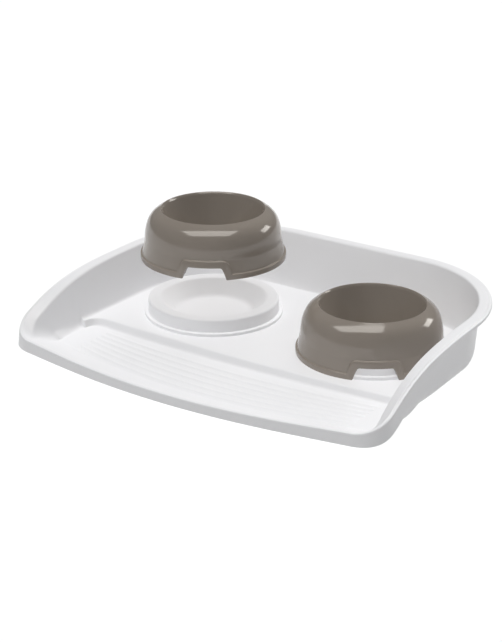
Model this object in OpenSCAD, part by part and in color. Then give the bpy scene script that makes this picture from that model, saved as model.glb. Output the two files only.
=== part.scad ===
// Double pet bowl: a moulded tray with a high back rim, two raised round seats,
// and two one-piece bowls that lift off the seats. The left bowl is stored lifted.
// Millimetres. X to the right, Y to the back, Z up; the origin is on the ground,
// under the middle of the tray.

/* [Tray rim] */
// Width over the rim near the front, where the tray is widest
tray_w = 466; // [460:1:490]
// Depth over the rim, front to back
tray_d = 390; // [384:1:410]
// Height of the rim along the back
back_rim_h = 70; // [50:0.5:90]
// Height of the rim along the front
front_rim_h = 22; // [19.5:0.5:27]
// Distance behind the front edge at which the rim starts to climb
climb_start = 24.5; // [15:0.5:40]
// Length of the climb, front to back: about two thirds of the height is reached here
climb_len = 65; // [50:1:90]
// How far each side draws in towards the back, in degrees
side_taper = 2; // [0:0.1:3]
// Plan radius of the rim's back corners
back_corner_r = 145; // [130:1:150]
// Plan radius of the rim's front corners
front_corner_r = 36; // [30:1:40]
// How far the front edge bows forward between its corners
front_bow = 28; // [20:1:32]
// Width of the flat band on top of the rim
band_w = 15; // [13:0.5:17]
// How far the band tips inwards along the front
band_tip = 4.5; // [2:0.5:6]
// Width of the thin lip outside the band
lip_w = 2.6; // [1.8:0.1:3.2]
// Height of the band above the lip
lip_step = 1.2; // [0.6:0.1:1.6]
// Height of the turned-down edge along the back and sides
hem_h = 4.5; // [4:0.5:8]
// Height of the turned-down edge's bottom at the front corners, above the ground
hem_clear = 8.5; // [6:0.5:9]
// How much higher the turned-down edge's bottom is in the middle of the front
hem_arch = 5; // [0:0.5:6]

/* [Tray basin] */
// Thickness of the moulded walls
wall = 2.5; // [2:0.1:3]
// Height of the upper floor, which carries the seats
upper_floor_h = 11.5; // [10.5:0.5:14]
// Height of the ribbed lower floor at the front
lower_floor_h = 4; // [3.5:0.5:6]
// Height of the moulding's underside above the ground
base_clear = 1.5; // [1:0.1:1.5]
// Distance from the rim to the foot of the side walls
side_lean = 18.5; // [17:0.5:22]
// Distance from the rim to the foot of the back wall
back_lean = 38; // [34:0.5:42]
// Distance from the rim to the foot of the sloped front
front_slope = 48; // [40:1:55]
// Distance from the seats' centre line forward to the step
step_y = 96.5; // [92:0.5:102]
// Depth of the step's sloped face
step_run = 5; // [3:0.5:8]
// How far the step bows forward in the middle
step_bow = 8.5; // [0:0.5:12]
// Radius at the foot of the walls around the upper floor
upper_fillet = 3; // [2:0.5:5]
// Radius at the foot of the walls around the lower floor
lower_fillet = 14; // [8:0.5:16]
// Radius of the moulding's bottom edge under the upper floor
base_round = 16; // [8:0.5:17]

/* [Ribs] */
// Distance from one rib to the next at their ends; the lower floor takes as many as fit
rib_pitch = 9; // [7:0.2:12]
// Width of a rib
rib_w = 4.4; // [2:0.2:6]
// Height of a rib
rib_h = 0.7; // [0.4:0.1:1.2]
// Distance from the foot of the step to the first rib's middle line
rib_start = 14; // [10:0.5:18]
// Least distance from the front slope to the last rib's middle line, at its ends
rib_margin = 1; // [0:0.5:8]
// Length of the ribs, left to right
rib_len = 352; // [300:1:360]

/* [Seats] */
// Distance between the centres of the two seats
seat_spacing = 208.6; // [200:0.2:216]
// Distance of the seats' centres behind the middle of the tray
seat_y = 41.5; // [36:0.5:44]
// Radius of a seat's raised ring
seat_r = 74.7; // [72:0.1:75.5]
// Height of a seat above the upper floor
seat_h = 18; // [12:0.5:20]
// Radius of the dished recess at the top of a seat
recess_top_r = 60; // [57:0.5:63]
// Radius of the recess's flat floor
recess_floor_r = 42.7; // [42:0.1:46]
// Height of the recess's floor above the upper floor
recess_floor_h = 1; // [0.5:0.1:1.4]
// How far the low ledge round a seat's foot stands out from the raised ring
ledge_out = 4.3; // [2.5:0.1:4.6]
// Height of the low ledge
ledge_h = 3.4; // [2:0.1:3.6]

/* [Bowls] */
// Play between a seat's raised ring and the inside of the bowl that stands on it
seat_play = 0.7; // [0.5:0.1:1.5]
// Height of a bowl
bowl_h = 56.4; // [52:0.1:66]
// Height of the foot band
foot_band_h = 6; // [4:0.1:8]
// How far the foot band stands out from the wall
foot_band_out = 4.6; // [4.4:0.1:6]
// Radius of a bowl's lip
lip_r = 59.5; // [56:0.1:62]
// Height at which the straight wall ends and the crown begins
crown_start_h = 21.3; // [18:0.1:28]
// Thickness of a bowl's wall
bowl_wall = 2.5; // [2:0.1:3]
// Radius of the dish's flat bottom
dish_floor_r = 34; // [28:0.5:34]
// Radius of the dish at its bottom corner
dish_corner_r = 40; // [36:0.5:40]
// Height of the dish's inside floor above the bowl's foot
dish_floor_h = 4.3; // [4:0.1:8]
// Width of the finger notch at the foot
notch_w = 50; // [30:1:56]
// Height of the finger notch
notch_h = 13.5; // [9:0.5:16]
// How much narrower the notch is at its top
notch_draw = 8; // [0:0.5:12]
// Width of the raised band that runs round the notch
notch_band_w = 7.5; // [4:0.5:9]
// Direction of the left bowl's notch, in degrees from straight ahead
left_notch_turn = 28; // [0:1:60]
// Direction of the right bowl's notch, in degrees from straight ahead
right_notch_turn = 34; // [0:1:60]
// How far the left bowl is lifted off its seat
left_lift = 67.5; // [50:0.5:90]

/* [Feet] */
// Diameter of a rubber foot
foot_d = 20; // [14:0.5:24]
// Distance from the foot of the side walls in to the feet's centres
foot_side = 42.5; // [38:0.5:60]
// Distance from the foot of the back wall forward to the back feet's centres
foot_back = 61; // [54:0.5:76]
// Distance from the foot of the front slope back to the front feet's centres
foot_front = 59; // [52:0.5:76]

/* [Hidden] */
$fn = 96;
// Clearance under a bowl that stands on the tray
gap = 0.3;
half_w = tray_w / 2;
half_d = tray_d / 2;
seat_x = seat_spacing / 2;
foot_x = half_w - side_lean - foot_side;
back_foot_y = half_d - back_lean - foot_back;
front_foot_y = half_d - front_slope - foot_front;
// A bowl's wall goes round the seat's raised ring, and its foot band round the ledge
ledge_r = seat_r + ledge_out;
wall_r = seat_r + seat_play + bowl_wall;
bowl_r = wall_r + foot_band_out;
tray_white = [0.93, 0.93, 0.95];
bowl_taupe = [0.47, 0.43, 0.38];
foot_grey = [0.25, 0.25, 0.26];

// Segments of the tray's outline: across, front corner, before and after the step, back corner
across_n = 14;
corner_n = 5;
basin_n = 6;
side_n = 7;
turn_n = 8;
step_foot_i = corner_n + basin_n;
step_top_i = step_foot_i + 1;
chain_n = step_top_i + side_n + turn_n;

// Curvature of the front edge, from its bow between the corners
front_curve = front_bow / pow(half_w - front_corner_r, 2);

function lerp(a, b, t) = a + (b - a) * t;

// 0 at the front rim's height and 1 at the back rim's, along a soft S
function climb(y, start, len, power) = 1 - exp(-pow(max(0, y - start) / len, power));
climb_y = -half_d + climb_start;
rim_power = 1.4;
function rim_share(y) = climb(y, climb_y, climb_len, rim_power);
function rim_z(y) = lerp(front_rim_h, back_rim_h, rim_share(y));
// The hem's lower edge takes longer to climb than the rim, so the hem is tallest halfway
hem_lead = 4.5;
hem_stretch = 1.57;
hem_power = 2.2;
function hem_z(y) = lerp(
    hem_clear,
    back_rim_h - hem_h,
    climb(y, climb_y - hem_lead, climb_len * hem_stretch, hem_power)
);
// The band's inner edge climbs a little later than its outer edge, and is lower at the front
band_lag = 10;
function band_z(y) = rim_z(y - band_lag) - band_tip * pow(1 - rim_share(y), 2);

// Place along the side at which the step's foot and top meet the wall
step_end_y = seat_y - step_y + step_bow;
foot_end_y = step_end_y - step_run;

// Share of the front corner's radius at which its arc leaves the front edge
corner_share = 0.7;
// The basin's front corners are tighter than the rim's
basin_corner_share = 0.5;
// The basin's back corners are tighter than an even inset from the rim's
basin_corner_ease = 5;
basin_back_r = back_corner_r - back_lean - basin_corner_ease;
// A side of the outline, from its front corner to the back edge, as rows of
// [x, y, outward x, outward y]. The corners' radii and the insets make each ring.
function side_chain(in_side, in_back, in_front, back_r, front_r) = let(
    w = half_w - in_side,
    back_y = half_d - in_back,
    front_y = -half_d + in_front,
    lean = atan(2 * front_curve * (w - corner_share * front_r)),
    corner_x = w - front_r,
    edge_y = front_y + front_curve * pow(corner_x + front_r * sin(lean), 2),
    corner_y = edge_y + front_r * cos(lean),
    side_end = back_y - back_r
) concat(
    [for (k = [0:corner_n]) let(a = lerp(lean - 90, 0, k / corner_n))
        [corner_x + front_r * cos(a), corner_y + front_r * sin(a), cos(a), sin(a)]],
    [for (k = [1:basin_n]) [w, lerp(corner_y, foot_end_y, k / basin_n), 1, 0]],
    [for (k = [0:side_n]) [w, lerp(step_end_y, side_end, k / side_n), 1, 0]],
    [for (k = [1:turn_n]) let(a = 90 * k / turn_n)
        [w - back_r + back_r * cos(a), side_end + back_r * sin(a), cos(a), sin(a)]]
);

rim_chain = side_chain(0, 0, 0, back_corner_r, front_corner_r);
foot_chain = side_chain(
    side_lean, back_lean, front_slope,
    basin_back_r, front_corner_r * basin_corner_share
);

// The sides draw in towards the back
taper_from = rim_chain[corner_n][1];
function drawn_in(x, y) = x * (1 - tan(side_taper) * max(0, y - taper_from) / half_w);

// The whole ring from one side: across the front, up the right, across the back, down the left.
// The arch lifts the middle of the front.
function ring(chain, out, z, arch = 0) = let(
    right = [for (j = [0:chain_n]) [chain[j][0] + out[j] * chain[j][2],
        chain[j][1] + out[j] * chain[j][3], z[j]]],
    first = right[0],
    last = right[chain_n],
    points = concat(
        [for (k = [0:across_n]) let(t = 2 * k / across_n - 1)
            [
                first[0] * t,
                first[1] - front_curve * pow(first[0], 2) * (1 - t * t),
                first[2] + arch * (1 - t * t)
            ]],
        [for (j = [1:chain_n]) right[j]],
        [for (k = [1:across_n]) [last[0] * (1 - 2 * k / across_n), last[1], last[2]]],
        [for (j = [chain_n - 1:-1:1]) [-right[j][0], right[j][1], right[j][2]]]
    )
) [for (p = points) [drawn_in(p[0], p[1]), p[1], p[2]]];
ring_n = 2 * (across_n + chain_n);

// A value for each row of a side
function rows(value) = [for (j = [0:chain_n]) value];
rim_y = [for (row = rim_chain) row[1]];
rim_top = [for (y = rim_y) rim_z(y)];
band_top = [for (y = rim_y) band_z(y)];
hem_bottom = [for (y = rim_y) hem_z(y)];
// 0 across the front edge, 1 at the end of the front corner
turned = [for (j = [0:chain_n]) min(1, j / corner_n)];
floor_z = [for (j = [0:chain_n]) j <= step_foot_i ? lower_floor_h : upper_floor_h];
// Run and height of the soft bend at the foot of the front slope
slope_fillet = [4, 1.3];
// Run (axis 0) and height (axis 1) of the bend at a row's foot, inside and underneath
function foot_fillet(j, axis) = j <= step_foot_i
    ? lerp(slope_fillet[axis], lower_fillet, turned[j])
    : upper_fillet;
// The upper floor's base tucks in towards its front corners, by the step
tuck = 12;
tuck_len = 42;
function tucked(y) = tuck * pow(max(0, 1 - (y - step_end_y) / tuck_len), 2);
function base_fillet(j, axis) = j <= step_foot_i
    ? lerp(slope_fillet[axis], lower_fillet + wall, turned[j])
    : axis == 0 ? base_round + tucked(foot_chain[j][1]) : base_round;

// Rings of the moulding's cross-section, from the floor out over the rim and back under it
arc_n = 3;
function inner_fillet(k) = let(a = 90 * k / arc_n) ring(
    foot_chain,
    [for (j = [0:chain_n]) -foot_fillet(j, 0) * (1 - sin(a))],
    [for (j = [0:chain_n]) floor_z[j] + foot_fillet(j, 1) * (1 - cos(a))]
);
function outer_fillet(k) = let(a = 90 * k / arc_n) ring(
    foot_chain,
    [for (j = [0:chain_n]) wall - base_fillet(j, 0) * (1 - cos(a))],
    [for (j = [0:chain_n]) base_clear + base_fillet(j, 1) * (1 - sin(a))]
);
function rim_ring(inset, height, drop, arch = 0) = ring(
    rim_chain, rows(-inset), [for (j = [0:chain_n]) height[j] - drop], arch
);
// Radii of the band's inner edge and of the lip's outer edge
band_edge_r = 1.8;
lip_edge_r = 0.8;
// How far the middle of the band stands above its edges
band_crown = 0.3;
band_middle = [for (j = [0:chain_n]) (rim_top[j] + band_top[j]) / 2];
// Thickness of the band, and thickness and outward flare of the hem
band_wall = 2;
hem_wall = 1.2;
hem_flare = 0.4;
tray_rings = concat(
    [for (k = [0:arc_n]) inner_fillet(k)],
    [for (a = [0:45:90])
        rim_ring(band_w - band_edge_r * (1 - cos(a)), band_top, band_edge_r * (1 - sin(a)))],
    [
        rim_ring((lip_w + band_w) / 2, band_middle, -band_crown),
        rim_ring(lip_w + lip_step, rim_top, 0),
        rim_ring(lip_w, rim_top, lip_step)
    ],
    [for (a = [90:-45:0])
        rim_ring(lip_edge_r * (1 - cos(a)), rim_top, lip_step + lip_edge_r * (1 - sin(a)))],
    [
        rim_ring(-hem_flare, hem_bottom, 0, hem_arch),
        rim_ring(hem_wall - hem_flare, hem_bottom, 0, hem_arch),
        rim_ring(lip_w, rim_top, lip_step + band_wall),
        rim_ring(band_w - wall, band_top, lip_step + band_wall)
    ],
    [for (k = [0:arc_n]) outer_fillet(k)]
);

// The floor is a patch of rows between the two sides; rows bow forward like the front edge
inner_chain = [for (j = [0:chain_n]) foot_chain[j][1] - foot_fillet(j, 0) * foot_chain[j][3]];
function row_bow(j) = let(
    y = inner_chain[j],
    x = foot_chain[j][0] - foot_fillet(j, 0) * foot_chain[j][2],
    edge_bow = front_curve * x * x
) y <= foot_end_y
    ? lerp(edge_bow, step_bow, (y - inner_chain[0]) / (foot_end_y - inner_chain[0]))
    : step_bow * max(0, 1 - (y - step_end_y) / (seat_y - step_end_y));
floor_points = [
    for (j = [1:chain_n - 1]) for (k = [1:across_n - 1]) let(
        t = 2 * k / across_n - 1,
        x = foot_chain[j][0] - foot_fillet(j, 0) * foot_chain[j][2],
        y = inner_chain[j] - row_bow(j) * (1 - t * t)
    ) [drawn_in(x, inner_chain[j]) * t, y, floor_z[j]]
];

ring_total = len(tray_rings);
floor_first = ring_total * ring_n;
// Index of a point of the floor patch: row j from the front, column k from the left
function floor_at(j, k) = j == 0 ? k
    : k == across_n ? across_n + j
    : j == chain_n ? across_n + chain_n + (across_n - k)
    : k == 0 ? (ring_n - j) % ring_n
    : floor_first + (j - 1) * (across_n - 1) + (k - 1);

module tray_shell() {
    points = concat([for (r = tray_rings) for (p = r) p], floor_points);
    floor_faces = [for (j = [0:chain_n - 1]) for (k = [0:across_n - 1]) for (h = [0, 1]) h == 0
        ? [floor_at(j, k), floor_at(j + 1, k), floor_at(j, k + 1)]
        : [floor_at(j, k + 1), floor_at(j + 1, k), floor_at(j + 1, k + 1)]];
    wall_faces = [for (r = [0:ring_total - 2]) for (i = [0:ring_n - 1]) for (h = [0, 1])
        let(a = r * ring_n + i, b = r * ring_n + (i + 1) % ring_n, c = a + ring_n, d = b + ring_n)
        h == 0 ? [a, b, d] : [a, d, c]];
    underside = [for (i = [ring_n - 1:-1:0]) (ring_total - 1) * ring_n + i];
    polyhedron(points, concat(floor_faces, wall_faces, [underside]), convexity = 10);
}

// Low ribs across the lower floor, bowed like the step
rib_n = 16;
rib_sink = 0.4;
rib_back_y = foot_end_y - rib_start;
rib_front_y = inner_chain[0] + front_curve * (pow(rib_len / 2, 2) - pow(foot_chain[0][0], 2)) + rib_margin;
rib_count = 1 + floor((rib_back_y - rib_front_y) / rib_pitch);
function rib_edge(y, shift) = [for (k = [0:rib_n]) let(t = 2 * k / rib_n - 1, x = t * rib_len / 2)
    [x, y + shift - row_bow_at(y) * (1 - t * t)]];
function row_bow_at(y) = lerp(
    front_curve * pow(foot_chain[0][0], 2),
    step_bow,
    (y - inner_chain[0]) / (foot_end_y - inner_chain[0])
);
module ribs() {
    for (i = [0:rib_count - 1]) {
        y = rib_back_y - i * rib_pitch;
        far = rib_edge(y, rib_w / 2);
        near = rib_edge(y, -rib_w / 2);
        translate([0, 0, lower_floor_h - rib_sink])
            linear_extrude(rib_h + rib_sink)
                polygon(concat(near, [for (k = [rib_n:-1:0]) far[k]]));
    }
}

// Points along an arc, from one angle to another
function arc(x, y, r, from, to) = [for (k = [0:arc_n]) let(a = lerp(from, to, k / arc_n))
    [x + r * cos(a), y + r * sin(a)]];

// A raised seat: a low ledge, an upright side, a flat ring and a dished recess
seat_round = 2.5;
recess_round = 1.5;
ledge_round = 0.8;
// How far the seat's solid reaches into the floor, and how far its hollow cuts below it
seat_sink = 1;
hollow_sink = wall + seat_sink;
recess_lean = atan((recess_top_r - recess_floor_r) / (seat_h - recess_floor_h));
module seat_form() {
    rotate_extrude() polygon(concat(
        [[0, -seat_sink], [ledge_r, -seat_sink]],
        arc(ledge_r - ledge_round, ledge_h - ledge_round, ledge_round, 0, 90),
        [[seat_r, ledge_h]],
        arc(seat_r - seat_round, seat_h - seat_round, seat_round, 0, 90),
        arc(recess_top_r + recess_round, seat_h - recess_round, recess_round, 90, 180 - recess_lean),
        [[recess_floor_r, recess_floor_h], [0, recess_floor_h]]
    ));
}
module seat_hollow() {
    ring_inner_r = recess_top_r + wall;
    hollow_top_h = seat_h - wall;
    corner = seat_round - wall / 2;
    low_r = recess_floor_r + wall - tan(recess_lean) * (recess_floor_h + hollow_sink);
    rotate_extrude() polygon([
        [low_r, -hollow_sink],
        [ring_inner_r, hollow_top_h],
        [seat_r - wall - corner, hollow_top_h],
        [seat_r - wall, hollow_top_h - corner],
        [seat_r - wall, ledge_h - wall],
        [ledge_r - wall, ledge_h - wall],
        [ledge_r - wall, -hollow_sink]
    ]);
}

// The hollow under the upper floor, inside the base's edge, and the bosses that carry the feet
base_land = 1;
boss_d = foot_d + 2;
// The hollow and the bosses are cut from below the ground, to be sure to pass it
below = 1;
module base_hollow() {
    right = [for (j = [step_top_i + 1:chain_n]) let(
        inset = base_fillet(j, 0) + base_land,
        y = foot_chain[j][1] - inset * foot_chain[j][3]
    ) [drawn_in(foot_chain[j][0] - inset * foot_chain[j][2], y), y]];
    last = len(right) - 1;
    difference() {
        translate([0, 0, -below])
            linear_extrude(upper_floor_h - wall + below)
                polygon(concat(right, [for (k = [last:-1:0]) [-right[k][0], right[k][1]]]));
        for (side = [-1, 1])
            translate([side * foot_x, back_foot_y, -2 * below])
                cylinder(h = upper_floor_h + 2 * below, d = boss_d);
    }
}

module tray() {
    color(tray_white) difference() {
        union() {
            tray_shell();
            ribs();
            for (side = [-1, 1])
                translate([side * seat_x, seat_y, upper_floor_h]) seat_form();
        }
        base_hollow();
        for (side = [-1, 1])
            translate([side * seat_x, seat_y, upper_floor_h]) seat_hollow();
    }
}

// A bowl is one shell: foot band, wall, rounded crown and lip, then the dish inside it
function bezier(p, t) = pow(1 - t, 3) * p[0] + 3 * pow(1 - t, 2) * t * p[1]
    + 3 * (1 - t) * t * t * p[2] + pow(t, 3) * p[3];
crown_n = 12;
bowl_fn = 128;
// The wall draws in a little on the way up to the crown, and so does the crown's side
wall_draft = 0.6;
crown_draft = 1.1;
// Share of the crown's height at which its side still pulls upright, and the flatness of its top
crown_pull = 0.71;
crown_flat = 0.55;
crown_wall_r = wall_r - wall_draft;
lip_point = [lip_r, bowl_h];
crown_top = [crown_wall_r - crown_draft, lerp(crown_start_h, bowl_h, crown_pull)];
crown_side = lerp(lip_point, crown_top, crown_flat);
crown = [[crown_wall_r, crown_start_h], crown_top, crown_side, lip_point];
// Small radii of the foot band, the foot's edge and the lip
band_round = 1.2;
edge_round = 0.5;
lip_round = 1.2;
// Radius of the bend at the dish's bottom, and how far the dish flares above it
dish_bend = 6;
dish_flare = 1.4;
dish_bend_share = 0.3;
// Play between the ledge and the foot band round it, and above the ledge
ledge_play = 0.6;
band_inner_r = ledge_r + ledge_play;
band_under_h = ledge_h + ledge_play - gap;
// How much higher the band's underside is at the wall than at the band
band_rise = 1.5;
module bowl_form() {
    dish_r = lip_r - bowl_wall;
    dish_top_h = bowl_h - bowl_wall;
    under_floor_h = dish_floor_h - bowl_wall;
    under_top = [dish_r + bowl_wall * crown_pull, dish_top_h - bowl_wall];
    rotate_extrude($fn = bowl_fn) polygon(concat(
        [
            [bowl_r - edge_round, 0],
            [bowl_r, edge_round],
            [bowl_r - edge_round, foot_band_h - band_round],
            [bowl_r - band_round, foot_band_h],
            [wall_r + band_round, foot_band_h + edge_round],
            [wall_r, foot_band_h + band_round]
        ],
        [for (k = [0:crown_n]) bezier(crown, k / crown_n)],
        [
            [lip_r - lip_round, bowl_h],
            [dish_r, dish_top_h],
            [dish_corner_r + dish_flare, dish_floor_h + dish_bend],
            [dish_corner_r - edge_round, dish_floor_h + dish_bend * dish_bend_share],
            [dish_floor_r, dish_floor_h],
            [0, dish_floor_h],
            [0, under_floor_h],
            [dish_floor_r, under_floor_h],
            [dish_corner_r + edge_round, under_floor_h + dish_bend * dish_bend_share],
            [dish_corner_r + dish_flare + bowl_wall, dish_floor_h + dish_bend - edge_round],
            under_top
        ],
        [for (k = [crown_n - 1:-1:0]) bezier(crown, k / crown_n) - [bowl_wall, bowl_wall * k / crown_n]],
        [
            [wall_r - bowl_wall, band_under_h + band_rise],
            [band_inner_r, band_under_h],
            [band_inner_r, 0]
        ]
    ));
}
// Outline of the notch seen from the front; grow widens it all round
notch_round = 4;
module notch_outline(grow) {
    low = notch_w / 2 + grow;
    high = low - notch_draw / 2;
    top = notch_h + grow;
    round_r = notch_round + grow / 2;
    polygon([
        [-low, -below], [low, -below], [high + edge_round, top - round_r], [high - round_r, top],
        [-high + round_r, top], [-high - edge_round, top - round_r]
    ]);
    for (side = [-1, 1])
        translate([side * (high - round_r), top - round_r]) circle(r = round_r, $fn = bowl_fn / 2);
}
module forward_cut(from_y, length) {
    translate([0, -from_y, 0]) rotate([90, 0, 0]) linear_extrude(length) children();
}
// The band round the notch stands out to the foot band's face
module notch_band() {
    inner_r = wall_r - band_round;
    foot_r = (bowl_r + band_inner_r) / 2;
    outer_r = bowl_r - edge_round;
    top_h = notch_h + notch_band_w + band_round;
    intersection() {
        rotate_extrude($fn = bowl_fn) polygon([
            [foot_r, edge_round], [outer_r, edge_round], [outer_r - edge_round, top_h],
            [inner_r, top_h], [inner_r, foot_band_h], [foot_r, foot_band_h - band_round]
        ]);
        forward_cut(lip_r, bowl_r) notch_outline(notch_band_w);
    }
}
module bowl(turn) {
    color(bowl_taupe) rotate([0, 0, turn]) difference() {
        union() {
            bowl_form();
            notch_band();
        }
        forward_cut(lip_r, bowl_r) notch_outline(0);
    }
}
module left_bowl() {
    translate([-seat_x, seat_y, upper_floor_h + gap + left_lift]) bowl(left_notch_turn);
}
module right_bowl() {
    translate([seat_x, seat_y, upper_floor_h + gap]) bowl(right_notch_turn);
}

// A rubber foot fills the space between the moulding's underside and the ground
foot_round = 0.5;
module foot(x, y) {
    color(foot_grey) translate([x, y, 0]) rotate_extrude() polygon([
        [0, 0],
        [foot_d / 2 - foot_round, 0],
        [foot_d / 2, foot_round],
        [foot_d / 2, base_clear],
        [0, base_clear]
    ]);
}
module foot_front_left() { foot(-foot_x, -front_foot_y); }
module foot_front_right() { foot(foot_x, -front_foot_y); }
module foot_back_left() { foot(-foot_x, back_foot_y); }
module foot_back_right() { foot(foot_x, back_foot_y); }

tray();
left_bowl();
right_bowl();
foot_front_left();
foot_front_right();
foot_back_left();
foot_back_right();
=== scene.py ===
# %% [markdown]
# # A double pet bowl
# A white moulded tray has a high curved rim at the back, two round seats on its upper floor and a
# ribbed basin at the front. Two taupe bowls, each moulded in one piece, lift off the seats, and the
# left one is shown lifted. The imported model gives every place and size, so the first step loads it
# and notes its box. All shapes are then worked out in millimetres and become metres in the mesh.

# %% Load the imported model
import math

import bmesh
import bpy
import numpy as np
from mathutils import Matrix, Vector


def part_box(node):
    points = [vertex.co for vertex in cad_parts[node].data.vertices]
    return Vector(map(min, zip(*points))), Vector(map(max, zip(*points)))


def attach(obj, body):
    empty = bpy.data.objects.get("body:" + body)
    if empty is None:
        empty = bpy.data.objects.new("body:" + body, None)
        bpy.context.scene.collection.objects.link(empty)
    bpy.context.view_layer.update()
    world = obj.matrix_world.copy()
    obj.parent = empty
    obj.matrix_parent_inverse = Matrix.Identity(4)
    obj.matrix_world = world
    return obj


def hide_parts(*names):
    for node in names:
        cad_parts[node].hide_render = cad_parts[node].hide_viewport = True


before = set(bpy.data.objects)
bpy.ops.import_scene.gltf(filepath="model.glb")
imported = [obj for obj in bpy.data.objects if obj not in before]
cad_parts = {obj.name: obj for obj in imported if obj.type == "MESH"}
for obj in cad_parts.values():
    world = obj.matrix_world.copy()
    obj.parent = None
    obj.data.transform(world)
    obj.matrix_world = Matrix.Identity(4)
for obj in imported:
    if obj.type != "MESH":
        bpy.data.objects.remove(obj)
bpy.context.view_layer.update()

MM = 0.001


def box_mm(node):
    """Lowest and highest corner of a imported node, in millimetres."""
    low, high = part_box(node)
    return np.array(low) / MM, np.array(high) / MM


# %% [markdown]
# ## From grids of points to a moulded skin
# Every moulding here is a skin with soft corners. A skin could be cut from solids, but then its edges
# would be sharp, or rounded by a modifier that doesn't know which edge is which. Here a cross-section
# is carried round the piece as a few corner lines, and each corner is rounded by its own amount. All
# of it is worked out as whole arrays, with a row for each step along the section and a column for
# each step round the piece.


# %% Round the corners of a section
def mix(a, b, t):
    """The value t of the way from a to b."""
    return a + (b - a) * t


def soften(corners, reaches, turn=6, run=5):
    """Rounds a section that is carried round a piece.

    corners is corner x column x 3, and reaches says how far the rounding of each corner reaches along
    the lines beside it. Between the points A and B where the rounding starts and ends, the line is
    (1 - t)^2 A + 2 t (1 - t) P + t^2 B, which leaves both straight lines smoothly. The straight runs
    get rows that lie closer together near their ends.
    """
    corners = np.asarray(corners, float)
    t = np.linspace(0, 1, turn + 1)[:, None, None]
    ease = ((1 - np.cos(np.pi * np.linspace(0, 1, run + 1))) / 2)[1:-1, None, None]
    rows = [corners[:1]]
    for before, here, after, reach in zip(corners[:-2], corners[1:-1], corners[2:], reaches[1:-1]):
        back, on = before - here, after - here
        a = here + back * share_of(reach, back)
        b = here + on * share_of(reach, on)
        rows.append(mix(rows[-1][-1], a, ease))
        rows.append((1 - t) ** 2 * a + 2 * t * (1 - t) * here + t**2 * b)
    rows.append(mix(rows[-1][-1], corners[-1], ease))
    rows.append(corners[-1:])
    return np.concatenate(rows)


def share_of(reach, line, most=0.48):
    """The share of a line that a reach takes, never more than almost half of it."""
    length = np.linalg.norm(line, axis=-1, keepdims=True)
    reach = np.asarray(reach, float)
    return np.minimum(most, reach.reshape(-1, 1) / np.maximum(length, 1e-6))


# %% Make a mesh from grids
def grid_faces(rows, columns, first, wrap):
    """Four-sided faces between neighbouring rows and columns of a grid whose points start at first."""
    index = first + np.arange(rows * columns).reshape(rows, columns)
    right = np.roll(index, -1, axis=1)
    if not wrap:
        index, right = index[:, :-1], right[:, :-1]
    return np.stack([index[:-1], right[:-1], right[1:], index[1:]], -1).reshape(-1, 4)


def moulding(name, grids, body, material, replaces=()):
    """Joins grids of points, each (row x column x 3 in millimetres, wraps round or not), into one
    mesh. Points that meet are merged, so poles and seams close, and the faces then point outwards."""
    points = np.concatenate([g.reshape(-1, 3) for g, wrap in grids]) * MM
    starts = np.cumsum([0] + [g.shape[0] * g.shape[1] for g, wrap in grids])
    faces = np.concatenate(
        [grid_faces(*g.shape[:2], start, wrap) for (g, wrap), start in zip(grids, starts)]
    )
    mesh = bpy.data.meshes.new(name)
    mesh.vertices.add(len(points))
    mesh.vertices.foreach_set("co", points.ravel())
    mesh.loops.add(faces.size)
    mesh.loops.foreach_set("vertex_index", faces.ravel())
    mesh.polygons.add(len(faces))
    mesh.polygons.foreach_set("loop_start", np.arange(0, faces.size, 4))
    mesh.update(calc_edges=True)
    joined = bmesh.new()
    joined.from_mesh(mesh)
    bmesh.ops.remove_doubles(joined, verts=joined.verts, dist=0.002 * MM)
    bmesh.ops.recalc_face_normals(joined, faces=joined.faces)
    open_edges = sum(len(e.link_faces) != 2 for e in joined.edges)
    joined.to_mesh(mesh)
    joined.free()
    mesh.polygons.foreach_set("use_smooth", np.ones(len(mesh.polygons), bool))
    piece = bpy.data.objects.new(name, mesh)
    bpy.context.scene.collection.objects.link(piece)
    mesh.materials.append(material)
    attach(piece, body)
    if replaces:
        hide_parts(*replaces)
    print(f"{name}: {len(mesh.polygons)} faces, {open_edges} open edges")


# %% Outlines that are turned about an axis
def turned(section, angles, centre=(0, 0, 0)):
    """A grid that a section of rows (radius, height) sweeps round an upright axis."""
    section = np.asarray(section, float)
    radius, height = section[:, 0, None], section[:, 1, None]
    rim = np.stack([radius * np.cos(angles), radius * np.sin(angles), height + 0 * angles], -1)
    return rim + np.asarray(centre, float)


def soft_outline(corners, reaches, turn=6, run=5):
    """A flat outline of (radius, height) corners with rounded corners, as rows of the same two."""
    corners = np.asarray(corners, float)
    flat = np.stack([corners[:, 0], 0 * corners[:, 0], corners[:, 1]], -1)[:, None, :]
    return soften(flat, reaches, turn, run)[:, 0, [0, 2]]


# %% [markdown]
# ## The finishes
# The tray is white plastic with a satin gloss, and the bowls are taupe plastic that is almost polished.
# A flat colour would look like paper, because a moulded surface is never quite even. Its tint and its
# gloss drift over a few centimetres, where the melt cooled faster or slower, and the mould leaves a
# very fine grain. Both come from noise in the piece's own millimetres, so they stay on the plastic
# from every side. The feet are matt rubber with a coarser grain.


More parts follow.
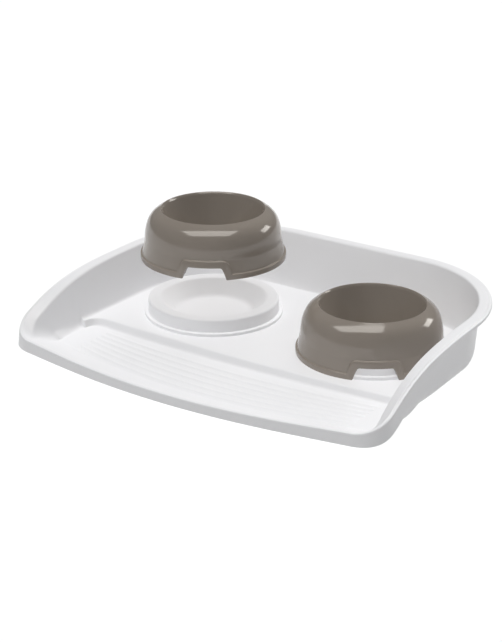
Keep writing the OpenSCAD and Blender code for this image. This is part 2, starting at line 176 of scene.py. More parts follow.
# %% Plastic and rubber
def finish(name, pale, deep, gloss, grain_mm, grain_depth, cloud_mm=30.0, **fixed):
    """A moulded finish: colour between pale and deep and roughness between the two of gloss, both
    following slow clouds of noise, and a grain of the given width and depth in millimetres."""
    material = bpy.data.materials.new(name)
    material.use_nodes = True
    nodes, links = material.node_tree.nodes, material.node_tree.links
    shader = nodes["Principled BSDF"]
    place = nodes.new("ShaderNodeTexCoord")
    clouds = nodes.new("ShaderNodeTexNoise")
    clouds.inputs["Scale"].default_value = 1 / (cloud_mm * MM)
    clouds.inputs["Detail"].default_value = 3
    tint = nodes.new("ShaderNodeValToRGB")
    tint.color_ramp.elements[0].position = 0.3
    tint.color_ramp.elements[1].position = 0.7
    tint.color_ramp.elements[0].color = (*deep, 1)
    tint.color_ramp.elements[1].color = (*pale, 1)
    sheen = nodes.new("ShaderNodeMapRange")
    sheen.inputs["To Min"].default_value, sheen.inputs["To Max"].default_value = gloss
    grain = nodes.new("ShaderNodeTexNoise")
    grain.inputs["Scale"].default_value = 1 / (grain_mm * MM)
    grain.inputs["Detail"].default_value = 2
    relief = nodes.new("ShaderNodeBump")
    relief.inputs["Distance"].default_value = grain_depth * MM
    links.new(place.outputs["Object"], clouds.inputs["Vector"])
    links.new(place.outputs["Object"], grain.inputs["Vector"])
    links.new(clouds.outputs["Fac"], tint.inputs["Fac"])
    links.new(clouds.outputs["Fac"], sheen.inputs["Value"])
    links.new(tint.outputs["Color"], shader.inputs["Base Color"])
    links.new(sheen.outputs["Result"], shader.inputs["Roughness"])
    links.new(grain.outputs["Fac"], relief.inputs["Height"])
    links.new(relief.outputs["Normal"], shader.inputs["Normal"])
    for socket, value in fixed.items():
        shader.inputs[socket.replace("_", " ")].default_value = value
    print("finish", name, "made")
    return material


# %% The three finishes
white_plastic = finish(
    "white_plastic", pale=(0.832, 0.832, 0.845), deep=(0.822, 0.822, 0.836),
    gloss=(0.36, 0.42), grain_mm=1.6, grain_depth=0.001, cloud_mm=60.0, IOR=1.5,
)
taupe_plastic = finish(
    "taupe_plastic", pale=(0.262, 0.229, 0.196), deep=(0.252, 0.220, 0.188),
    gloss=(0.10, 0.14), grain_mm=1.2, grain_depth=0.001, cloud_mm=40.0, IOR=1.5,
)
grey_rubber = finish(
    "grey_rubber", pale=(0.055, 0.055, 0.058), deep=(0.035, 0.035, 0.037),
    gloss=(0.65, 0.85), grain_mm=0.5, grain_depth=0.05, cloud_mm=6.0,
)

# %% [markdown]
# ## The tray's outline
# Seen from above, the front edge bows forward, and each side is one line: a tight front corner, the
# straight side past the step, and a wide back corner. The rim and the foot of the walls are two such
# lines, one inside the other, and their points pair up, so a wall is drawn between them with straight
# rows. An outline could also be drawn as a curve and swept, but then the wall's lean couldn't change
# round the tray. The right side is worked out, and the left is its mirror image.

# %% Sizes of the rim and the basin, in millimetres
tray_high = box_mm("tray")[1]
hem_flare = 0.4
band_crown = 0.3
half_w = tray_high[0] - hem_flare
half_d = tray_high[1] - hem_flare
back_rim_h = tray_high[2] - band_crown
front_rim_h = 22
climb_start, climb_len, climb_power = 24.5, 65, 1.4
side_taper = math.radians(2)
back_corner_r, front_corner_r, foot_corner_r, foot_tighter = 145, 34, 9, 5
front_bow, front_ease, corner_from, lean_from = 28.3, 3, 206, 0.79
side_lean, back_lean, front_slope = 18.5, 38, 48
base_clear, lower_floor, upper_floor, wall = 1.5, 4, 11.5, 2.5
seat_x, seat_y = sum(box_mm("right_bowl"))[:2] / 2
seat_to_step, step_bow, step_run = 96.5, 8.5, 5
step_top_y = seat_y - seat_to_step + step_bow
step_foot_y = step_top_y - step_run
print(f"tray {2 * half_w:.1f} x {2 * half_d:.1f} mm, rim {back_rim_h:.1f} mm high")

# %% The step in profile, and the rows of the outline
across_n, corner_n, basin_n, side_n, turn_n = 72, 20, 22, 30, 44
across_t = np.sin(np.linspace(-math.pi / 2, math.pi / 2, across_n + 1))
step_margin = 7
step_line = soft_outline(
    [
        (step_foot_y - step_margin, lower_floor), (step_foot_y, lower_floor),
        (step_top_y, upper_floor), (step_top_y + step_margin, upper_floor),
    ],
    reaches=(0, 2.2, 2.0, 0), turn=8, run=4,
)
# The step's ends curve forward, so its rows reach the side walls further forward and closer together
step_end_forward, step_end_gather = 16, 0.5
step_wall_y = step_foot_y - step_end_forward + step_end_gather * (step_line[:, 0] - step_foot_y)
print("the step in profile:", len(step_line), "rows")


# %% The lines of the outline
def front_line(x):
    """How far the front edge lies behind its middle: a parabola that straightens towards the corners,
    (bow + ease) u^2 - ease u^6, with u = x / corner_from."""
    u = x / corner_from
    return (front_bow + front_ease) * u**2 - front_ease * u**6


def front_lean(x):
    """The angle of the front edge at x."""
    u = x / corner_from
    return math.atan((2 * (front_bow + front_ease) * u - 6 * front_ease * u**5) / corner_from)


def side_line(in_side, in_back, in_front, back_r, front_r):
    """The right side as rows of x, y and the outward direction: an arc round the front corner, the
    straight side through the step's rows, and an arc round the back corner. The first arc starts
    with the lean of the front edge, taken lean_from of its radius inside the corner."""
    w = half_w - in_side
    lean = front_lean(w - lean_from * front_r)
    corner_x = w - front_r
    edge_y = -half_d + in_front + front_line(corner_x + front_r * math.sin(lean))
    corner_y = edge_y + front_r * math.cos(lean)
    side_end = half_d - in_back - back_r
    front = np.linspace(lean - math.pi / 2, 0, corner_n + 1)
    back = np.linspace(0, math.pi / 2, turn_n + 1)[1:]
    ys = np.concatenate([
        np.linspace(corner_y, step_wall_y[0], basin_n + 1)[1:-1],
        step_wall_y,
        np.linspace(step_wall_y[-1], side_end, side_n + 1)[1:],
    ])
    x = np.concatenate([
        corner_x + front_r * np.cos(front), w + 0 * ys, w - back_r + back_r * np.cos(back)
    ])
    y = np.concatenate([corner_y + front_r * np.sin(front), ys, side_end + back_r * np.sin(back)])
    nx = np.concatenate([np.cos(front), 1 + 0 * ys, np.cos(back)])
    ny = np.concatenate([np.sin(front), 0 * ys, np.sin(back)])
    return np.stack([x, y, nx, ny], -1)


# %% The rim's line and the line at the foot of the walls
foot_back_r = back_corner_r - back_lean - foot_tighter
rim_side = side_line(0, 0, 0, back_corner_r, front_corner_r)
foot_side = side_line(side_lean, back_lean, front_slope, foot_back_r, foot_corner_r)
side_rows = len(rim_side)
step_first = corner_n + basin_n
step_rows = len(step_line)
floor_z = np.full(side_rows, float(upper_floor))
floor_z[:step_first] = lower_floor
floor_z[step_first:step_first + step_rows] = step_line[:, 1]
taper_from = rim_side[corner_n, 1]
print(side_rows, "rows on each side,", 2 * (side_rows - 1 + across_n), "points round the tray")


# %% From one side to a whole ring
def drawn_in(x, y):
    """The sides draw in towards the back: x shrinks with the way behind the front corner."""
    return x * (1 - math.tan(side_taper) * np.maximum(0, y - taper_from) / half_w)


def ring(side, out, z, arch=0):
    """One closed line round the tray. The side's rows move outwards by out and lie at height z. The
    front edge joins them along its own line, and arch lifts its middle by arch (1 - t^2)."""
    x, y = side[:, 0] + out * side[:, 2], side[:, 1] + out * side[:, 3]
    z = z + 0 * x
    t = across_t
    front = np.stack([
        x[0] * t, y[0] - front_line(x[0]) + front_line(x[0] * t), z[0] + arch * (1 - t**2)
    ], -1)
    right = np.stack([x, y, z], -1)[1:]
    back = np.stack([-x[-1] * t, y[-1] + 0 * t, z[-1] + 0 * t], -1)[1:]
    left = np.stack([-x, y, z], -1)[-2:0:-1]
    points = np.concatenate([front, right, back, left])
    points[:, 0] = drawn_in(points[:, 0], points[:, 1])
    return points


# %% [markdown]
# ## The rim's height and its cross-section
# The rim is low and level along the front and climbs in a soft S to the back. It is a flat band with a
# thin lip outside it, a step down from the band, and a turned-down edge, the hem, which makes the rim
# stiff and gives fingers a hold. Along the front the lip fades into a soft roll. The rim could be a
# profile swept along a path, but its parts climb at different rates. So each line of the section has
# its own heights round the tray.


# %% Heights along the rim
def climb(y, start, length, power):
    """0 in front of start and then 1 - exp(-(way / length)^power), where way is how far y is behind."""
    return 1 - np.exp(-((np.maximum(0, y - start) / length) ** power))


climb_y = -half_d + climb_start
band_lag, band_tip = 10, 4.5
hem_clear, hem_h, hem_arch = 8.5, 4.5, 3.3
hem_lead, hem_climb_len, hem_power = 12, 104, 2.3
corner_flare = 1.5


def rim_share(y):
    """How far the rim has climbed, from 0 along the front to 1 at the back."""
    return climb(y, climb_y, climb_len, climb_power)


rim_y = rim_side[:, 1]
climbed, hem_climbed = rim_share(rim_y), climb(rim_y, climb_y - hem_lead, hem_climb_len, hem_power)
rim_z = mix(front_rim_h, back_rim_h, climbed)
band_z = mix(front_rim_h, back_rim_h, rim_share(rim_y - band_lag)) - band_tip * (1 - climbed) ** 2
hem_z = mix(hem_clear, back_rim_h - hem_h, hem_climbed)
corner_share = np.minimum(1, np.arange(side_rows) / corner_n)
hem_out = hem_flare + corner_flare * np.sin(math.pi * corner_share) ** 2
print(f"rim from {rim_z[0]:.1f} to {rim_z[-1]:.1f} mm, hem from {hem_z[0]:.1f} to {hem_z[-1]:.1f} mm")

# %% [markdown]
# ## The bends at the foot of the walls
# A moulded wall runs into its floor in a rounded bend. Inside, the bend is wide in the basin and tight
# at the seats' floor, and outside it is wide all round, so that the base stays out of sight. A bevel
# modifier would need a weight on every edge. Here each row has its own run and rise, which are mixed
# from a few values by where the row lies. The outer bend stays below the inner one everywhere.

# %% How far the inner bend runs and rises
lower_fillet, upper_fillet = 8, 4
slope_fillet_run, slope_fillet_rise = 4, 1.3
basin_widen, tongue_y, tongue_soft = 0.5, step_top_y + 5, 2.5
tongue_run, tongue_rise = 5, 5
up_step = np.clip((floor_z - lower_floor) / (upper_floor - lower_floor), 0, 1)
# 1 up to a little behind the step, where the basin's slightly wider form ends, and 0 from there on
before_tongue = np.clip(0.5 - (foot_side[:, 1] - tongue_y) / tongue_soft, 0, 1)
up_run = mix(upper_fillet, tongue_run, before_tongue)
up_rise = mix(upper_fillet, tongue_rise, before_tongue)
fillet_run = mix(mix(slope_fillet_run, lower_fillet, corner_share), up_run, up_step)
fillet_rise = mix(mix(slope_fillet_rise, lower_fillet, corner_share), up_rise, up_step)
inner_foot = foot_side.copy()
inner_foot[:, 0] += basin_widen * before_tongue
print(f"the inner bend is {fillet_run.min():.1f} to {fillet_run.max():.1f} mm wide")

# %% How far the outer bend runs and rises
basin_round_run, basin_round_rise, base_round_run, base_round_rise = 14, 12, 20, 17
tub_blend, tuck_in, tuck_reach = 34, 12, 42
# From 0 in front of the step to 1 well behind it, softly at both ends: 3 s^2 - 2 s^3
tub_share = np.clip((foot_side[:, 1] - step_wall_y[0]) / tub_blend, 0, 1)
tub_share = tub_share**2 * (3 - 2 * tub_share)
# Behind the step the base draws in a little further
beside_step = np.maximum(0, 1 - np.abs(foot_side[:, 1] - step_top_y) / tuck_reach)
tuck = tuck_in * beside_step**2 * tub_share
base_run = mix(mix(slope_fillet_run, basin_round_run, corner_share), base_round_run, tub_share) + tuck
base_rise = mix(mix(slope_fillet_rise, basin_round_rise, corner_share), base_round_rise, tub_share)
print(f"the outer bend is {base_run.min():.1f} to {base_run.max():.1f} mm wide")


# %% Values round the tray, and soft bends
def around(values):
    """A value for each row of a side, set out in the order of a ring's points."""
    return np.concatenate([
        np.full(across_n + 1, values[0]), values[1:], np.full(across_n, values[-1]), values[-2:0:-1]
    ])


def lean(top, foot):
    """How far a wall leans out for each millimetre that it rises, point by point round the tray."""
    return np.linalg.norm(top[:, :2] - foot[:, :2], axis=1) / (top[:, 2] - foot[:, 2])


def bend(start, corner, end, turn=10):
    """A soft bend: (1 - t)^2 start + 2 t (1 - t) corner + t^2 end."""
    t = np.linspace(0, 1, turn + 1)[:, None, None]
    return (1 - t) ** 2 * start + 2 * t * (1 - t) * corner + t**2 * end


def side_values(ring_values):
    """The part of a ring's values that belongs to the rows of the right side."""
    return ring_values[across_n:across_n + side_rows]


# %% The bends as rows of points
wall_band_w, lip_w, lip_step = 15, 2.6, 1.2
hem_wall, band_wall, most_lean = 1.2, 2, 0.4
wall_foot = ring(inner_foot, 0, floor_z + fillet_rise)
wall_top = ring(rim_side, -wall_band_w, band_z)
inner_lean = np.minimum(side_values(lean(wall_top, wall_foot)), fillet_run / fillet_rise)
inner_bend = bend(
    ring(inner_foot, -fillet_run, floor_z),
    ring(inner_foot, -inner_lean * fillet_rise, floor_z),
    wall_foot,
)
outer_top = ring(rim_side, wall - wall_band_w, band_z - lip_step - band_wall)
outer_foot = ring(foot_side, wall, base_clear + base_rise)
outer_lean = np.minimum(side_values(lean(outer_top, outer_foot)), most_lean * base_run / base_rise)
base_bend = bend(
    outer_foot,
    ring(foot_side, wall - outer_lean * base_rise, base_clear),
    ring(foot_side, wall - base_run, base_clear),
)
print("the two bends:", len(inner_bend), "and", len(base_bend), "rows")

# %% The section from the floor over the rim and back under it
lip_from, lip_over, front_roll, back_roll = 0.1, 0.5, 3.2, 0.8
lip_share = np.clip((climbed - lip_from) / lip_over, 0, 1)
lip_drop = lip_step * lip_share
edge_roll = around(mix(front_roll, back_roll, lip_share))
rim_section = soften(
    [
        wall_foot,
        wall_top,
        ring(rim_side, -(lip_w + wall_band_w) / 2, (rim_z + band_z) / 2 + band_crown),
        ring(rim_side, -(lip_w + lip_step), rim_z),
        ring(rim_side, -lip_w, rim_z - lip_drop),
        ring(rim_side, 0, rim_z - lip_drop),
        ring(rim_side, hem_out, hem_z, hem_arch),
        ring(rim_side, hem_out - hem_wall, hem_z, hem_arch),
        ring(rim_side, -lip_w, rim_z - lip_step - band_wall),
        outer_top,
        outer_foot,
    ],
    reaches=(0, 2.4, 3.5, 0.9, 0.6, edge_roll, 0.4, 0.4, 1.2, 2.5, 0),
)
shell = np.concatenate([inner_bend[:-1], rim_section[:-1], base_bend])
print("shell of the tray:", shell.shape[0], "rows of", shell.shape[1], "points")

# %% [markdown]
# ## The floors
# The two floors and the step between them are one patch between the left and right foot lines. Its
# lines run across the tray and bow forward, as the front edge and the step do on the real tray, and
# the step's ends curve forward before they meet the side walls. The patch could be split into a
# floor, a riser and another floor, but one patch keeps the soft bends at the step smooth right into
# the corners. The underside is a patch of the same kind, hollow under the seats' floor.


# %% Lines across the tray, and the floors inside
hook_front, hook_back = 16, 40


def hooked(y):
    """How far the ends of a line across the floor curve forward. At the step it is what its rows need
    to reach the walls, and it fades away in front of the step and behind it."""
    to_line = step_line[:, 0] - step_wall_y
    before = to_line[0] * np.clip(1 + (y - step_wall_y[0]) / hook_front, 0, 1)
    behind = to_line[-1] * np.clip(1 - (y - step_wall_y[-1]) / hook_back, 0, 1)
    at_step = np.interp(y, step_wall_y, to_line)
    return np.where(y < step_wall_y[0], before, np.where(y > step_wall_y[-1], behind, at_step))


def across(x, y, t):
    """Lines across the tray whose ends lie at (x, y) and (-x, y), drawn in towards the back. Each is a
    bow: the front edge's own line at the front, bow (1 - t^2) at the step, and straight at the seats.
    Its ends follow a quarter circle forward, h (1 - sqrt(1 - u^2)), where they are hooked."""
    x, y = x[:, None], y[:, None]
    h = np.maximum(hooked(y), 1e-6)
    middle = y + np.where(h > 1e-5, h, 0)
    to_step = np.clip((middle - middle[0]) / (step_foot_y - middle[0]), 0, 1)
    to_seat = np.clip((middle - step_top_y) / (seat_y - step_top_y), 0, 1)
    front = front_line(x) - front_line(x * t)
    bow = mix(mix(front, step_bow * (1 - t**2), to_step), 0, to_seat)
    u = np.clip((x * np.abs(t) - (x - h)) / h, 0, 1)
    px, py = x * t, middle - bow - h * (1 - np.sqrt(1 - u**2))
    return drawn_in(px, py), py


end_x = inner_foot[:, 0] - fillet_run * inner_foot[:, 2]
end_y = inner_foot[:, 1] - fillet_run * inner_foot[:, 3]
floor_x, floor_y = across(end_x, end_y, across_t)
floor = np.stack([floor_x, floor_y, floor_z[:, None] + 0 * floor_x], -1)
print("floors and step:", floor.shape[0], "rows of", floor.shape[1], "points")

# %% The underside and the tray's whole skin
base_land, step_to_hollow = 1, 14.5
ceiling = upper_floor - wall
hollow_y = step_top_y + step_to_hollow
hollow_from = int(np.searchsorted(foot_side[:, 1], hollow_y))
out_x = foot_side[:, 0] + (wall - base_run) * foot_side[:, 2]
out_y = foot_side[:, 1] + (wall - base_run) * foot_side[:, 3]
in_x, in_y = out_x - base_land * foot_side[:, 2], out_y - base_land * foot_side[:, 3]
land_t = np.concatenate([[-1, -1], across_t, [1, 1]])
order = np.concatenate([
    np.arange(hollow_from + 1), np.arange(hollow_from, side_rows), [side_rows - 1, side_rows - 1]
])
under_x, under_y = across(in_x[order], in_y[order], land_t)
edge_x, edge_y = across(out_x[order], out_y[order], land_t)
on_edge = np.ones(under_x.shape, bool)
on_edge[1:-1, 1:-1] = False
under_x, under_y = np.where(on_edge, edge_x, under_x), np.where(on_edge, edge_y, under_y)
under_z = np.full(under_x.shape, float(base_clear))
under_z[hollow_from + 1:-2, 2:-2] = ceiling
underside = np.stack([under_x, under_y, under_z], -1)
moulding(
    "tray_moulding", [(shell, True), (floor, False), (underside, False)],
    "tray", white_plastic, replaces=["tray"],
)

# %% [markdown]
# ## The seats
# Each bowl stands round a seat: a low ledge, an upright side, a flat ring on top, and a recess that
# takes the bowl's dish. A seat is round, so its outline is turned about its own axis. It could be cut
# into the tray's skin, but it only meets the flat floor, so its foot simply sinks a little into it.

# %% Two round seats
seat_r, ledge_out, ledge_h, seat_h = 74.7, 4.3, 3.4, 18
recess_top_r, recess_floor_r, recess_floor_h = 60, 42.7, 1
ledge_r = seat_r + ledge_out
seat_sink = 0.8
around_seat = np.linspace(0, 2 * math.pi, 193)[:-1]
seat_outline = soft_outline(
    [
        (0, -seat_sink), (ledge_r, -seat_sink), (ledge_r, ledge_h), (seat_r, ledge_h), (seat_r, seat_h),
        (recess_top_r, seat_h), (recess_floor_r, recess_floor_h), (0, recess_floor_h),
    ],
    reaches=(0, 0.1, 1.1, 1.0, 2.8, 2.2, 4, 0), turn=8, run=6,
)
for side, sign in (("left", -1), ("right", 1)):
    seat = turned(seat_outline, around_seat, (sign * seat_x, seat_y, upper_floor))
    moulding(f"{side}_seat", [(seat, True)], "tray", white_plastic)

# %% [markdown]
# ## The ribs
# Low ribs across the front basin keep paws above what has spilled, and they stiffen the floor. Each
# could be a stretched cylinder sunk into it, but its line bows like the step. So it is a small rounded
# profile carried along that line, and its ends narrow to a round tip.

# %% Ribs across the lower floor
rib_pitch, rib_w, rib_h, rib_sink = 9, 7.4, 0.7, 0.3
rib_start, rib_len, rib_margin = 14, 352, 1
rib_half = rib_len / 2
rib_back_y = step_foot_y - rib_start
rib_front_y = end_y[0] - front_line(end_x[0]) + front_line(rib_half) + rib_margin
rib_count = 1 + int((rib_back_y - rib_front_y) / rib_pitch)


def rib(y):
    """One rib. Along x, its middle line is y - bow (1 - (x / half)^2). Across, its height is
    h (1 - u^2)^2 over the width, and near the ends the width shrinks as the side of a circle."""
    bow = mix(front_line(end_x[0]), step_bow, (y - end_y[0]) / (step_foot_y - end_y[0]))
    x = rib_half * np.sin(np.linspace(-math.pi / 2, math.pi / 2, 97))
    to_end = np.clip((rib_half - np.abs(x)) / (rib_w / 2), 0, 1)
    half_width = rib_w / 2 * np.sqrt(1 - (1 - to_end) ** 2)
    u = np.sin(np.linspace(-math.pi / 2, math.pi / 2, 13))
    middle = y - bow * (1 - (x / rib_half) ** 2)
    top = np.stack([
        x[:, None] + 0 * u, middle[:, None] + half_width[:, None] * u,
        lower_floor + rib_h * (half_width / (rib_w / 2))[:, None] * (1 - u**2) ** 2,
    ], -1)
    below = top[:, ::-1] * (1, 1, 0) + (0, 0, lower_floor - rib_sink)
    return np.concatenate([top, below], axis=1)


ribs = [(rib(rib_back_y - i * rib_pitch), True) for i in range(rib_count)]
moulding("basin_ribs", ribs, "tray", white_plastic)
print(rib_count, "ribs")

# %% [markdown]
# ## The bosses
# The back feet sit below the hollow, so the tray has a short round boss over each of them that
# carries it down to the foot. A boss could be a plain cylinder, but its lower edge is rounded, so it
# is an outline turned about the foot's axis, like the seats.

# %% Bosses over the back feet
boss_r, boss_top = 11, ceiling + 0.5
boss_outline = soft_outline(
    [(0, base_clear), (boss_r, base_clear), (boss_r, boss_top), (0, boss_top)],
    reaches=(0, 0.4, 0.1, 0), turn=3, run=2,
)
for side in ("left", "right"):
    boss_x, boss_y = sum(box_mm(f"foot_back_{side}"))[:2] / 2
    boss = turned(boss_outline, around_seat[::4], (boss_x, boss_y, 0))
    moulding(f"{side}_boss", [(boss, True)], "tray", white_plastic)

# %% [markdown]
# ## The bowls
# A bowl is one skin from the middle of the dish over the lip, down the crown and the flared wall to
# the foot, and back up inside the skirt. A band runs round the foot, stands out a little from the
# wall, climbs over the finger notch and frames it. The notch could be cut with a boolean, but the cut
# would leave rough shading beside it. Here the foot line itself climbs over the notch, and the band's
# lines are the same line set off to one side, so the skin follows the notch with clean edges.

# %% A bowl's sizes
bowl_h = box_mm("right_bowl")[1][2] - box_mm("right_bowl")[0][2]
bowl_wall, foot_band_out, foot_band_h, band_ledge = 2.5, 4.6, 6, 2.2
wall_r = seat_r + 0.7 + bowl_wall
bowl_r = wall_r + foot_band_out
lip_r, crown_start_h = 59.5, 21.3
wall_draw, crown_in, crown_share, crown_pull = 0.6, 1.1, 0.71, 0.55
dish_floor_h, dish_corner_r = 4.3, 39.3
notch_w, notch_h, notch_draw, notch_band_w, notch_round = 50, 13.5, 8, 7.5, 4
band_inner_r, band_under_h = ledge_r + 0.6, ledge_h + 0.3
print(f"bowl {2 * bowl_r:.1f} mm across and {bowl_h:.1f} mm high")

# %% The columns round a bowl
# They lie closest together along the sides of the notch. Behind the bowl, sideways is out of reach
notch_top_x, notch_side_x, notch_past_x = 15, 26, 35
half_steps = np.concatenate([
    np.linspace(0, notch_top_x, 9),
    np.linspace(notch_top_x, notch_side_x, 45)[1:],
    np.linspace(notch_side_x, notch_past_x, 29)[1:],
])
half_angles = np.concatenate([
    np.arcsin(half_steps / bowl_r), np.linspace(math.asin(notch_past_x / bowl_r), math.pi, 82)[1:]
])
bowl_angles = np.concatenate([-half_angles[:0:-1], half_angles[:-1]])
sideways = np.where(np.abs(bowl_angles) < math.pi / 2, bowl_r * np.sin(bowl_angles), 2 * bowl_r)
print(len(bowl_angles), "columns round a bowl")


# %% The lines that follow the notch
def notch_line(grow):
    """Height of the notch's outline, set off outwards by grow, at each column: level on top, then a
    quarter circle, then a straight leaning side down to below the foot."""
    x = np.abs(sideways)
    low, top, r = notch_w / 2 + grow, notch_h + grow, notch_round + grow / 2
    high = low - notch_draw / 2
    arc = top - r + np.sqrt(np.clip(r**2 - (x - high + r) ** 2, 0, None))
    side = -1 + (low - x) / (low - high - 0.5) * (top - r + 1)
    return np.where(x <= high - r, top, np.where(x < high, arc, np.minimum(side, top - r)))


def blended_max(a, b, soft=0.8):
    """The larger of two heights with a soft change: (a + b + root((a - b)^2 + soft^2) - soft) / 2."""
    return (a + b + np.sqrt((a - b) ** 2 + soft**2) - soft) / 2


def foot_line(inside):
    """The foot's edge, or the line that lies inside the wall from it: it climbs over the notch."""
    return np.maximum(inside, notch_line(inside))


def band_line(inside):
    """The band's top edge, or the line that lies below it on the band."""
    return blended_max(foot_band_h - inside + 0 * sideways, notch_line(notch_band_w - inside))


# %% The crown and the flared wall in profile
# The crown is (1 - t)^3 A + 3 (1 - t)^2 t B + 3 (1 - t) t^2 C + t^3 D, from the lip A to the wall D
crown_n, wall_n, room_h, band_gap = 34, 16, 34, 0.7
crown_r = wall_r - wall_draw
crown_foot = np.array([crown_r, crown_start_h])
crown_top = np.array([crown_r - crown_in, mix(crown_start_h, bowl_h, crown_share)])
lip_point = np.array([lip_r, bowl_h - 0.5])
crown_side = mix(lip_point, crown_top, crown_pull)
t = np.linspace(0, 1, crown_n + 1)[:, None]
crown = (1 - t) ** 3 * lip_point + 3 * (1 - t) ** 2 * t * crown_side
crown = crown + 3 * (1 - t) * t**2 * crown_top + t**3 * crown_foot
wall_heights = np.linspace(crown_start_h, foot_band_h + band_gap, wall_n + 1)[1:]
upright = np.stack([mix(wall_r, crown_r, wall_heights / crown_start_h), wall_heights], -1)
way_down = (crown_start_h - wall_heights) / (crown_start_h - wall_heights[-1])
flared = upright + np.stack([(foot_band_out - band_ledge) * way_down, 0 * way_down], -1)
upright_profile = np.concatenate([crown, upright])
profile = np.concatenate([crown, flared])
print(f"the wall flares from {crown_r:.1f} to {flared[-1, 0]:.1f} mm")


def on_band(height, out=0.0):
    """The band's radius at a height: it lies a little outside the wall and follows its flare."""
    wall_there = np.interp(height, profile[::-1, 1], profile[::-1, 0])
    return np.minimum(bowl_r, wall_there + band_ledge) + out


# %% Rows that make room for the band
def squeezed(profile, foot_curve):
    """The profile's rows round the bowl. Rows below room_h are squeezed upwards in proportion, so that
    the lowest one follows foot_curve, and each keeps the radius that the profile has at its height."""
    h = profile[:, 1, None]
    lowest = profile[-1, 1]
    moved = foot_curve + (h - lowest) * (room_h - foot_curve) / (room_h - lowest)
    height = np.where(h < room_h, moved, h + 0 * foot_curve)
    radius = np.interp(height, profile[::-1, 1], profile[::-1, 0])
    return radius, height


def round_bowl(radius, height):
    """Points at a radius and a height in each column."""
    radius, height = np.broadcast_arrays(radius + 0 * bowl_angles, height + 0 * bowl_angles)
    return np.stack([radius * np.sin(bowl_angles), -radius * np.cos(bowl_angles), height], -1)


def by_share(corners, shares, turn=6):
    """Like soften, with each rounding given as a share of the lines beside it, so that it keeps its
    real width where the lines are stretched along the notch's sides."""
    corners = np.asarray(corners)
    t = np.linspace(0, 1, turn + 1)[:, None, None]
    rows = [corners[:1]]
    neighbours = zip(corners[:-2], corners[1:-1], corners[2:])
    for (before, here, after), (share_in, share_out) in zip(neighbours, shares):
        a, b = mix(here, before, share_in), mix(here, after, share_out)
        rows.append((1 - t) ** 2 * a + 2 * t * (1 - t) * here + t**2 * b)
    rows.append(corners[-1:])
    return np.concatenate(rows)


# %% The dish and the outside of a bowl
dish = soft_outline(
    [
        (0, dish_floor_h), (dish_corner_r, dish_floor_h), (lip_r - 2.4, bowl_h - 2.2),
        (lip_r - 0.9, bowl_h + 0.05), tuple(lip_point),
    ],
    reaches=(0, 8, 1.2, 0.8, 0), turn=8, run=12,
)
outer_radius, outer_height = squeezed(profile, band_line(-band_gap))
outer = round_bowl(outer_radius, outer_height)
# The notch goes through the thick foot: over_notch is 0 at the plain foot, and 1 where the foot line
# has climbed 4.8 mm or more
over_notch = np.clip(foot_line(0) / 2 - 1.4, 0, 1)
skirt_r = wall_r - bowl_wall
band_under_r = mix(band_inner_r, skirt_r, over_notch)
band = by_share(
    [
        outer[-1],
        round_bowl(mix(outer_radius[-1], on_band(band_line(0)), 0.3), band_line(-0.3)),
        round_bowl(on_band(band_line(0), -0.2), band_line(0)),
        round_bowl(on_band(band_line(2)), band_line(2)),
        round_bowl(on_band(foot_line(1.5)), foot_line(1.5)),
        round_bowl(on_band(foot_line(0), -0.1), foot_line(0)),
        round_bowl(band_under_r, foot_line(0)),
    ],
    shares=[(0.5, 0.3), (0.25, 0.5), (0.3, 0.3), (0.3, 0.3), (0.35, 0.12)],
)
print("dish", len(dish), "rows, outside", len(outer) + len(band), "rows")

# %% The skirt's inside and the whole skin of a bowl
under_band = by_share(
    [
        band[-1],
        round_bowl(band_under_r, np.maximum(band_under_h, foot_line(0) + 0.4)),
        round_bowl(skirt_r - 0.05 * over_notch, np.maximum(band_under_h + 1.5, foot_line(0) + 1)),
    ],
    shares=[(0.2, 0.2)],
)
inner_profile = upright_profile[upright_profile[:, 1] < bowl_h - 3] - [bowl_wall, 0]
up_crown = np.clip((inner_profile[:, 1] - crown_start_h) / (bowl_h - crown_start_h), 0, 1)
inner_profile[:, 1] -= bowl_wall * up_crown
skirt_h = band_under_h + 1.6
inner_profile[-1, 1] = skirt_h
skirt = round_bowl(*squeezed(inner_profile, np.maximum(skirt_h, foot_line(0) + 1.2)))[::-1]
under_h = dish_floor_h - bowl_wall
under_dish = soft_outline(
    [
        tuple(inner_profile[0]), (lip_r - 0.6, bowl_h - 5.2),
        (dish_corner_r + 2.1, under_h), (0, under_h),
    ],
    reaches=(0, 1.5, 9, 0), turn=8, run=10,
)
bowl_skin = np.concatenate([
    round_bowl(dish[:, 0, None], dish[:, 1, None]), outer[1:], band[1:], under_band[1:], skirt,
    round_bowl(under_dish[1:, 0, None], under_dish[1:, 1, None]),
])
print("a bowl:", bowl_skin.shape[0], "rows of", bowl_skin.shape[1], "points")

# %% Two bowls, each turned its own way
for side, notch_turn in (("left", 28), ("right", 34)):
    low, high = box_mm(f"{side}_bowl")
    cosine, sine = math.cos(math.radians(notch_turn)), math.sin(math.radians(notch_turn))
    place = np.array([*(low + high)[:2] / 2, low[2]])
    spun = bowl_skin @ np.array([[cosine, sine, 0], [-sine, cosine, 0], [0, 0, 1]]) + place
    moulding(
        f"{side}_bowl_moulding", [(spun, True)],
        f"{side}_bowl", taupe_plastic, replaces=[f"{side}_bowl"],
    )

# %% [markdown]
# ## The feet
# Four rubber discs stand the tray on the floor and keep it from sliding. They could be made again as
# surfaces here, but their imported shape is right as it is, so they only get their finish.

# %% Rubber feet
for name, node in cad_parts.items():
    if name.startswith("foot_"):
        node.data.materials.clear()
        node.data.materials.append(grey_rubber)
print("feet:", [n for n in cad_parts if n.startswith("foot_")])

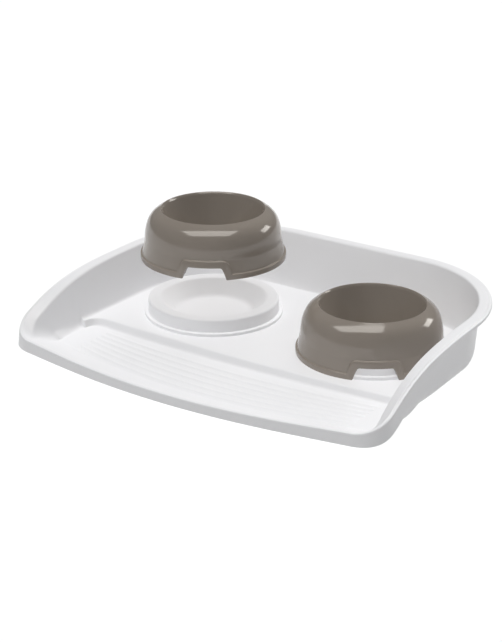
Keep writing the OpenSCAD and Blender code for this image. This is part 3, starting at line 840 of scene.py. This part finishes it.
# %% [markdown]
# ## The studio
# The object stands on a plain pale floor in a white room. Light that has bounced off white walls comes
# from all sides and hardly casts a shadow. Large area lights could give it, but they leave soft shadows
# and take many samples. Here the ceiling and each wall are a light that casts no shadow, with its own
# strength, so that upright faces are a little darker than level ones. One more light from below
# stands for what the floor sends back, so the floor itself is hidden from the object's diffuse rays.
# Two windows are seen by glossy rays alone. They give the bowls the window-shaped highlights that a
# photographer sets on purpose, and leave the soft light on the tray as it is.

# %% Floor and surroundings
floor_material = bpy.data.materials.new("studio_floor")
floor_material.use_nodes = True
paper = floor_material.node_tree.nodes["Principled BSDF"]
paper.inputs["Base Color"].default_value = (0.97, 0.97, 0.97, 1)
paper.inputs["Roughness"].default_value = 0.9
paper.inputs["Specular IOR Level"].default_value = 0.1
reach = 12.0
floor_corners = [(-reach, -reach, 0), (reach, -reach, 0), (reach, reach, 0), (-reach, reach, 0)]
floor_mesh = bpy.data.meshes.new("studio_floor")
floor_mesh.from_pydata(floor_corners, [], [(0, 1, 2, 3)])
studio_floor = bpy.data.objects.new("studio_floor", floor_mesh)
bpy.context.scene.collection.objects.link(studio_floor)
floor_mesh.materials.append(floor_material)
studio_floor.visible_diffuse = False

world = bpy.data.worlds.new("studio")
bpy.context.scene.world = world
world.use_nodes = True
world.node_tree.nodes["Background"].inputs["Color"].default_value = (1, 1, 1, 1)
world.node_tree.nodes["Background"].inputs["Strength"].default_value = 0.2
bpy.context.scene.view_settings.view_transform = "Standard"
print("floor and surroundings made")


# %% Kinds of light
def window(name, place, target, width, depth, radiance):
    """A warm rectangular light at place that faces target and shows only as a highlight. Its power is
    radiance x area x pi."""
    data = bpy.data.lights.new(name, "AREA")
    data.shape = "RECTANGLE"
    data.size, data.size_y = width, depth
    data.energy = radiance * width * depth * math.pi
    data.color = (1, 0.965, 0.91)
    pane = bpy.data.objects.new(name, data)
    pane.location = place
    pane.rotation_euler = (Vector(target) - Vector(place)).to_track_quat("-Z", "Y").to_euler()
    pane.visible_diffuse = False
    pane.visible_camera = False
    bpy.context.scene.collection.objects.link(pane)
    return pane


def fill(name, towards, strength, spread):
    """Even light that shines towards a direction, spread over some degrees, and casts no shadow. Its
    strength is what a white surface that faces it sends on."""
    data = bpy.data.lights.new(name, "SUN")
    data.energy = strength * math.pi
    data.angle = math.radians(spread)
    data.use_shadow = False
    light = bpy.data.objects.new(name, data)
    light.rotation_euler = Vector(towards).to_track_quat("-Z", "Y").to_euler()
    light.visible_glossy = False
    bpy.context.scene.collection.objects.link(light)


# %% Lights
view_turn = math.radians(34.2)
fill("ceiling", (-0.05, -0.25, -0.967), 0.44, 40)
fill("back_wall", (0, -0.8, -0.6), 0.42, 40)
fill("left_wall", (0.5, 0.6, -0.62), 0.24, 40)
fill("front_wall", (-0.4, 0.75, -0.35), 0.12, 40)
fill("from_below", (0, 0, 1), 0.36, 180)
front_window = window("front_window", (0.0, -0.216, 0.64), (0.0, -0.216, 0), 0.71, 0.33, 5.2)
# It faces straight down and is turned the way that the camera looks
front_window.rotation_euler = (0, 0, view_turn)
window("back_window", (0.75, 1.15, 0.62), (0.1, 0.05, 0.06), 0.55, 0.35, 7.0)

# %% [markdown]
# ## The camera
# The photograph looks from the front right, from a little above. A camera could be moved by hand until
# the view looks right, but then a wrong shape could pass for a wrong view. So its place and angle were
# worked out from the round edges of the seats and bowls, and its lens from how much smaller the far
# side looks.

# %% Camera
view_drop = math.radians(22.2)
camera_place = Vector((0.9764, -1.4732, 0.7578))
focal_pixels, image_height, sensor = 1750, 642, 36
level = math.cos(view_drop)
ahead = Vector((-math.sin(view_turn) * level, math.cos(view_turn) * level, -math.sin(view_drop)))
camera_data = bpy.data.cameras.new("camera")
camera_data.sensor_width = sensor
camera_data.lens = focal_pixels * sensor / image_height
camera_data.clip_end = 50
camera = bpy.data.objects.new("camera", camera_data)
camera.location = camera_place
camera.rotation_euler = ahead.to_track_quat("-Z", "Y").to_euler()
bpy.context.scene.collection.objects.link(camera)
bpy.context.scene.camera = camera
print("camera lens", round(camera_data.lens, 1), "mm")
